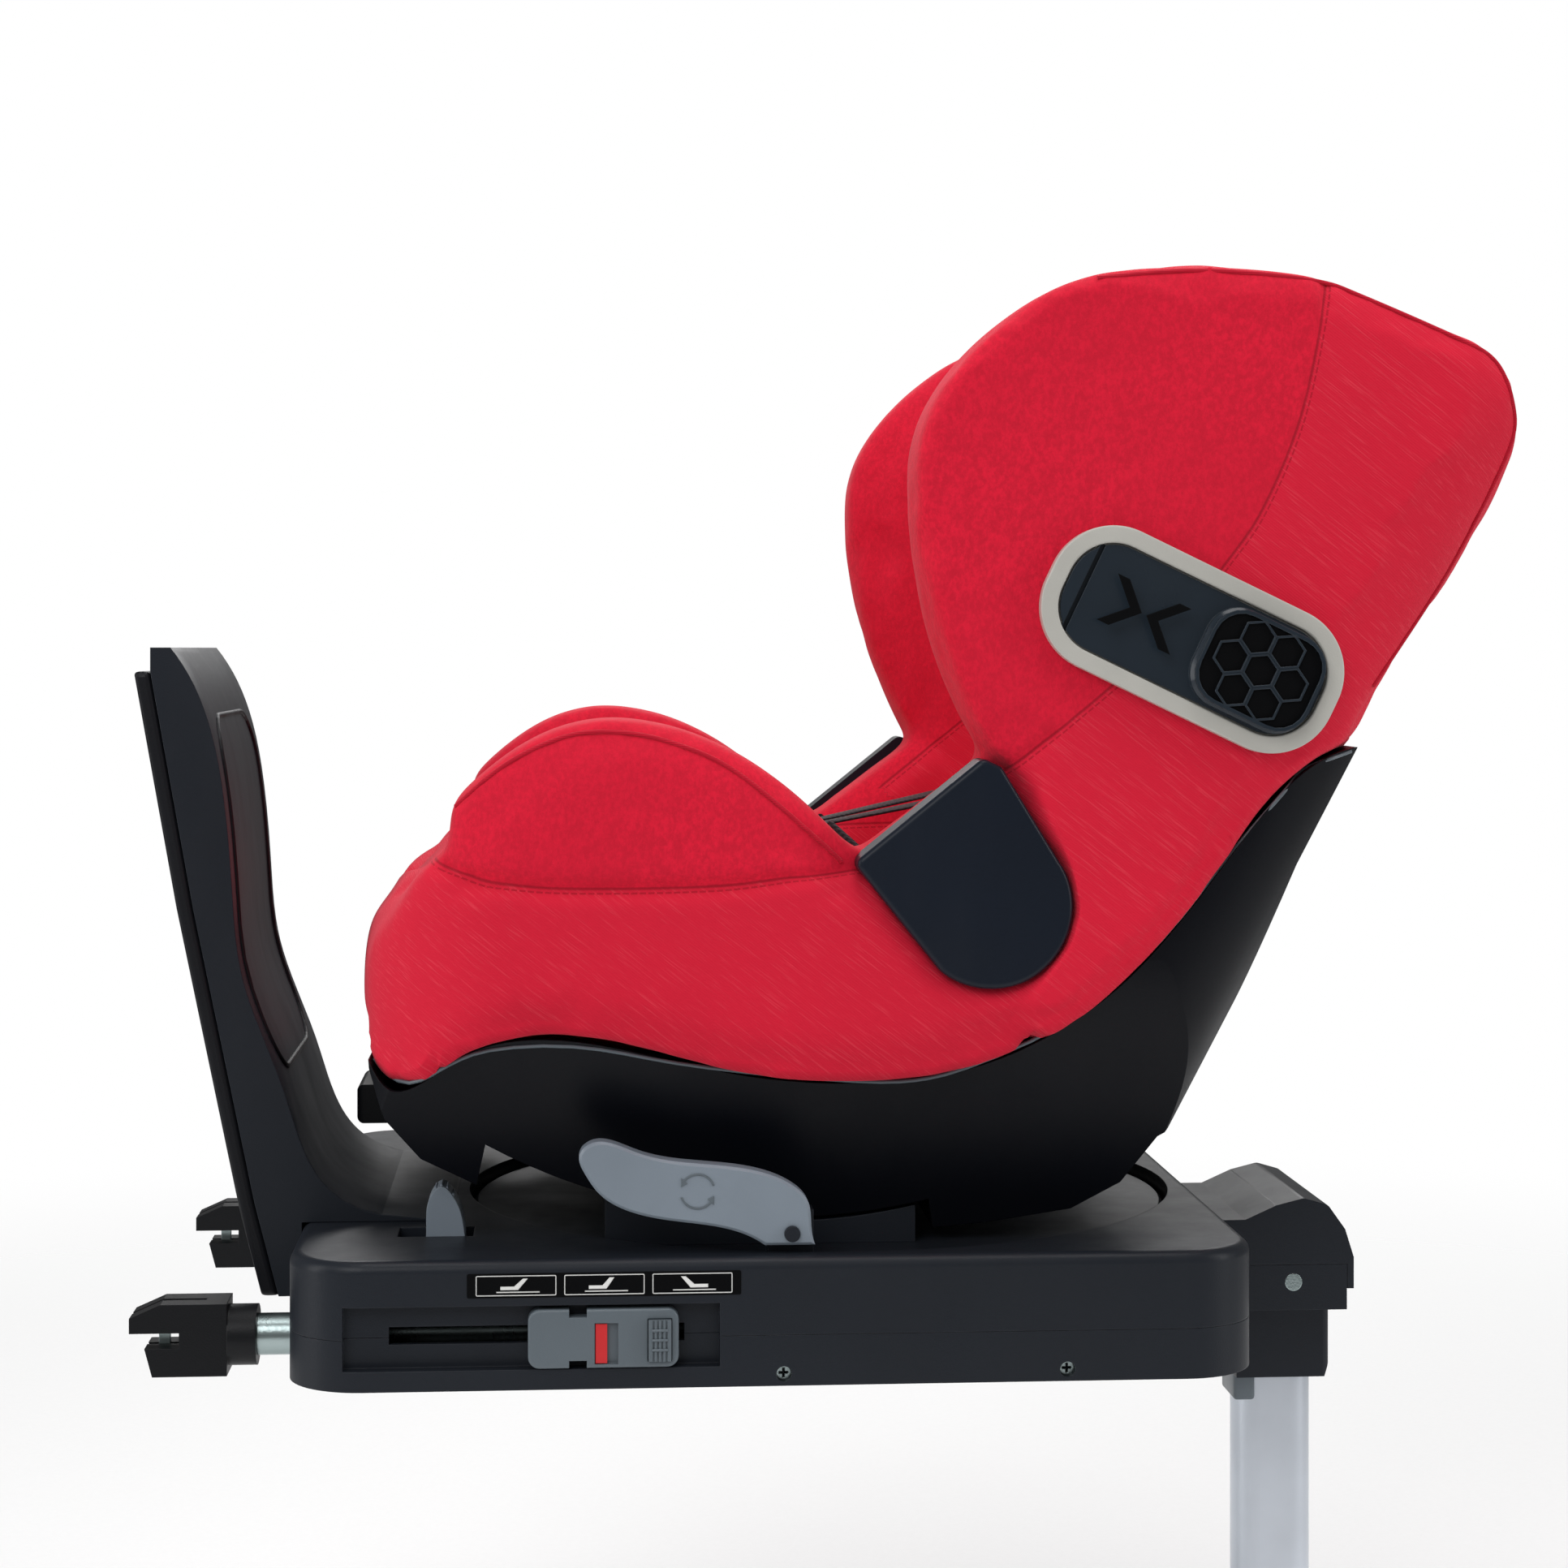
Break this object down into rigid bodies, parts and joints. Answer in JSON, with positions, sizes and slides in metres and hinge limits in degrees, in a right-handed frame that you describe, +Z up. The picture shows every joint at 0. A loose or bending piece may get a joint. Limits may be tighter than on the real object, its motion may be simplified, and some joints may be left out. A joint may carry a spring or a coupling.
{
  "type": "rotating convertible child car seat",
  "caption": "Rear- and forward-facing child seat on a turning base, with anchor-bar connectors, rebound panel, folding support leg, sliding headrest and recline.",
  "frame": {"origin": "on the swivel axis, at the height of the base's underside", "axes": "+Z up; -X towards the vehicle's backrest, where the bar connectors are; -Y is the left side of a child who sits facing -X"},
  "size_m": [0.744, 0.4588, 0.9192],
  "materials": {
    "base_plastic": "satin, fine grain",
    "panel_black": "satin",
    "shell_plastic": "satin gloss",
    "black_plastic": "matt",
    "guard_plastic": "satin",
    "trim_light": "satin",
    "pod_gloss": "gloss",
    "lever_grey": "satin",
    "slider_grey": "satin",
    "signal_red": "gloss",
    "steel": "zinc plated",
    "leg_aluminium": "anodised",
    "inner_fabric": "knitted",
    "cover_fabric": "velour and woven",
    "webbing": "woven webbing",
    "pad_fabric": "knitted"
  },
  "bodies": {
    "base": {"base_lower_shell": "base_plastic", "base_upper_shell": "base_plastic", "bearing_ring": "black_plastic", "neck_cover": "base_plastic", "base_screws": "steel", "rebound_back_shell": "panel_black", "rebound_front_cover": "base_plastic", "rebound_frame": "steel", "leg_pin": "steel", "lock_pin": "steel"},
    "turntable": {"turntable": "base_plastic", "recline_carriage": "base_plastic"},
    "seat": {"under_shell": "shell_plastic", "bucket_shell": "shell_plastic", "recline_rails": "steel", "seat_pad": "inner_fabric", "back_pad": "inner_fabric", "front_roll": "inner_fabric", "back_cover": "cover_fabric", "side_guard_left": "guard_plastic", "side_guard_right": "guard_plastic", "wing_cover_left": "cover_fabric", "wing_cover_right": "cover_fabric", "thigh_bolster_left": "cover_fabric", "thigh_bolster_right": "cover_fabric", "sip_frame_left": "trim_light", "sip_frame_right": "trim_light", "shoulder_straps": "webbing", "shoulder_pads": "pad_fabric", "buckle": "black_plastic", "lap_straps": "webbing"},
    "headrest": {"headrest_shell": "shell_plastic", "headrest_pad": "inner_fabric"},
    "headrest_handle": {"headrest_handle": "black_plastic"},
    "lock_lever": {"lock_lever": "lever_grey"},
    "recline_handle": {"recline_handle": "black_plastic"},
    "buckle_button": {"buckle_button": "signal_red"},
    "harness_adjuster": {"harness_adjuster": "black_plastic"},
    "leg": {"leg_housing": "base_plastic", "leg_upper_tube": "leg_aluminium", "leg_collar": "base_plastic"},
    "leg_lower": {"leg_lower_tube": "leg_aluminium", "leg_foot": "base_plastic"},
    "leg_button": {"leg_button": "lever_grey"},
    "sip_flap_left": {"sip_flap_left": "pod_gloss"},
    "rotate_lever_left": {"rotate_lever_left": "lever_grey"},
    "isofix_left": {"isofix_arm_left": "steel", "isofix_connector_left": "black_plastic", "isofix_slider_left": "slider_grey"},
    "isofix_button_left": {"isofix_button_left": "slider_grey"},
    "isofix_hook_left": {"isofix_hook_left": "steel"},
    "isofix_indicator_left": {"isofix_indicator_left": "signal_red"},
    "sip_flap_right": {"sip_flap_right": "pod_gloss"},
    "rotate_lever_right": {"rotate_lever_right": "lever_grey"},
    "isofix_right": {"isofix_arm_right": "steel", "isofix_connector_right": "black_plastic", "isofix_slider_right": "slider_grey"},
    "isofix_button_right": {"isofix_button_right": "slider_grey"},
    "isofix_hook_right": {"isofix_hook_right": "steel"},
    "isofix_indicator_right": {"isofix_indicator_right": "signal_red"}
  },
  "joints": [
    {"name": "swivel", "type": "hinge", "parent": "base", "child": "turntable", "pos_m": [0, 0, 0], "axis": [0, 0, 1], "continuous": true},
    {"name": "recline", "type": "hinge", "parent": "turntable", "child": "seat", "pos_m": [-0.03, 0, 0.385], "axis": [0, 1, 0], "range_deg": [-11.5, 0]},
    {"name": "headrest_slide", "type": "slide", "parent": "seat", "child": "headrest", "axis": [0.4695, 0, 0.8829], "range_m": [0, 0.11]},
    {"name": "headrest_pull", "type": "slide", "parent": "headrest", "child": "headrest_handle", "axis": [0.4695, 0, 0.8829], "range_m": [0, 0.008], "stiffness_N_per_m": 600, "springref_m": -0.003},
    {"name": "lock_lever_press", "type": "hinge", "parent": "base", "child": "lock_lever", "pos_m": [-0.207, -0.135, 0.059], "axis": [0, 1, 0], "range_deg": [-10, 0], "stiffness_Nm_per_rad": 1, "springref_deg": 5.73},
    {"name": "recline_press", "type": "slide", "parent": "seat", "child": "recline_handle", "axis": [1, 0, 0], "range_m": [0, 0.008], "stiffness_N_per_m": 600, "springref_m": -0.002},
    {"name": "buckle_press", "type": "slide", "parent": "seat", "child": "buckle_button", "axis": [0.9397, 0, -0.342], "range_m": [0, 0.004], "stiffness_N_per_m": 800, "springref_m": -0.001},
    {"name": "adjuster_press", "type": "slide", "parent": "seat", "child": "harness_adjuster", "axis": [0, 0, -1], "range_m": [0, 0.004], "stiffness_N_per_m": 800, "springref_m": -0.001},
    {"name": "leg_fold", "type": "hinge", "parent": "base", "child": "leg", "pos_m": [0.268, 0, 0.016], "axis": [0, 1, 0], "range_deg": [0, 90]},
    {"name": "leg_slide", "type": "slide", "parent": "leg", "child": "leg_lower", "axis": [0, 0, -1], "range_m": [0, 0.14]},
    {"name": "leg_button_press", "type": "slide", "parent": "leg", "child": "leg_button", "axis": [-1, 0, 0], "range_m": [0, 0.0035], "stiffness_N_per_m": 500, "springref_m": -0.001},
    {"name": "sip_flap_left_swing", "type": "hinge", "parent": "seat", "child": "sip_flap_left", "pos_m": [0.12013, -0.2184, 0.40989], "axis": [-0.4337, 0, -0.9011], "range_deg": [0, 30]},
    {"name": "rotate_lever_left_lift", "type": "hinge", "parent": "turntable", "child": "rotate_lever_left", "pos_m": [-0.03, -0.199, 0.076], "axis": [0, 1, 0], "range_deg": [0, 10], "stiffness_Nm_per_rad": 2, "springref_deg": -2.86},
    {"name": "isofix_left_slide", "type": "slide", "parent": "base", "child": "isofix_left", "axis": [-1, 0, 0], "range_m": [0, 0.07]},
    {"name": "isofix_left_press", "type": "slide", "parent": "isofix_left", "child": "isofix_button_left", "axis": [0, 1, 0], "range_m": [0, 0.003], "stiffness_N_per_m": 800, "springref_m": -0.001},
    {"name": "isofix_left_hook", "type": "hinge", "parent": "isofix_left", "child": "isofix_hook_left", "pos_m": [-0.343, -0.14, 0.025], "axis": [0, 1, 0], "range_deg": [0, 18]},
    {"name": "isofix_left_flag", "type": "slide", "parent": "isofix_left", "child": "isofix_indicator_left", "axis": [1, 0, 0], "range_m": [0, 0.0045]},
    {"name": "sip_flap_right_swing", "type": "hinge", "parent": "seat", "child": "sip_flap_right", "pos_m": [0.12013, 0.2184, 0.40989], "axis": [0.4337, 0, 0.9011], "range_deg": [0, 30]},
    {"name": "rotate_lever_right_lift", "type": "hinge", "parent": "turntable", "child": "rotate_lever_right", "pos_m": [-0.03, 0.199, 0.076], "axis": [0, 1, 0], "range_deg": [0, 10], "stiffness_Nm_per_rad": 2, "springref_deg": -2.86},
    {"name": "isofix_right_slide", "type": "slide", "parent": "base", "child": "isofix_right", "axis": [-1, 0, 0], "range_m": [0, 0.07]},
    {"name": "isofix_right_press", "type": "slide", "parent": "isofix_right", "child": "isofix_button_right", "axis": [0, -1, 0], "range_m": [0, 0.003], "stiffness_N_per_m": 800, "springref_m": -0.001},
    {"name": "isofix_right_hook", "type": "hinge", "parent": "isofix_right", "child": "isofix_hook_right", "pos_m": [-0.343, 0.14, 0.025], "axis": [0, 1, 0], "range_deg": [0, 18]},
    {"name": "isofix_right_flag", "type": "slide", "parent": "isofix_right", "child": "isofix_indicator_right", "axis": [1, 0, 0], "range_m": [0, 0.0045]}
  ],
  "couplings": [
    {"joint": "isofix_left_hook", "follows": "isofix_left_press", "rad_per_m": 104},
    {"joint": "isofix_left_flag", "follows": "isofix_left_press", "ratio": 1.4},
    {"joint": "isofix_right_hook", "follows": "isofix_right_press", "rad_per_m": 104},
    {"joint": "isofix_right_flag", "follows": "isofix_right_press", "ratio": 1.4}
  ]
}
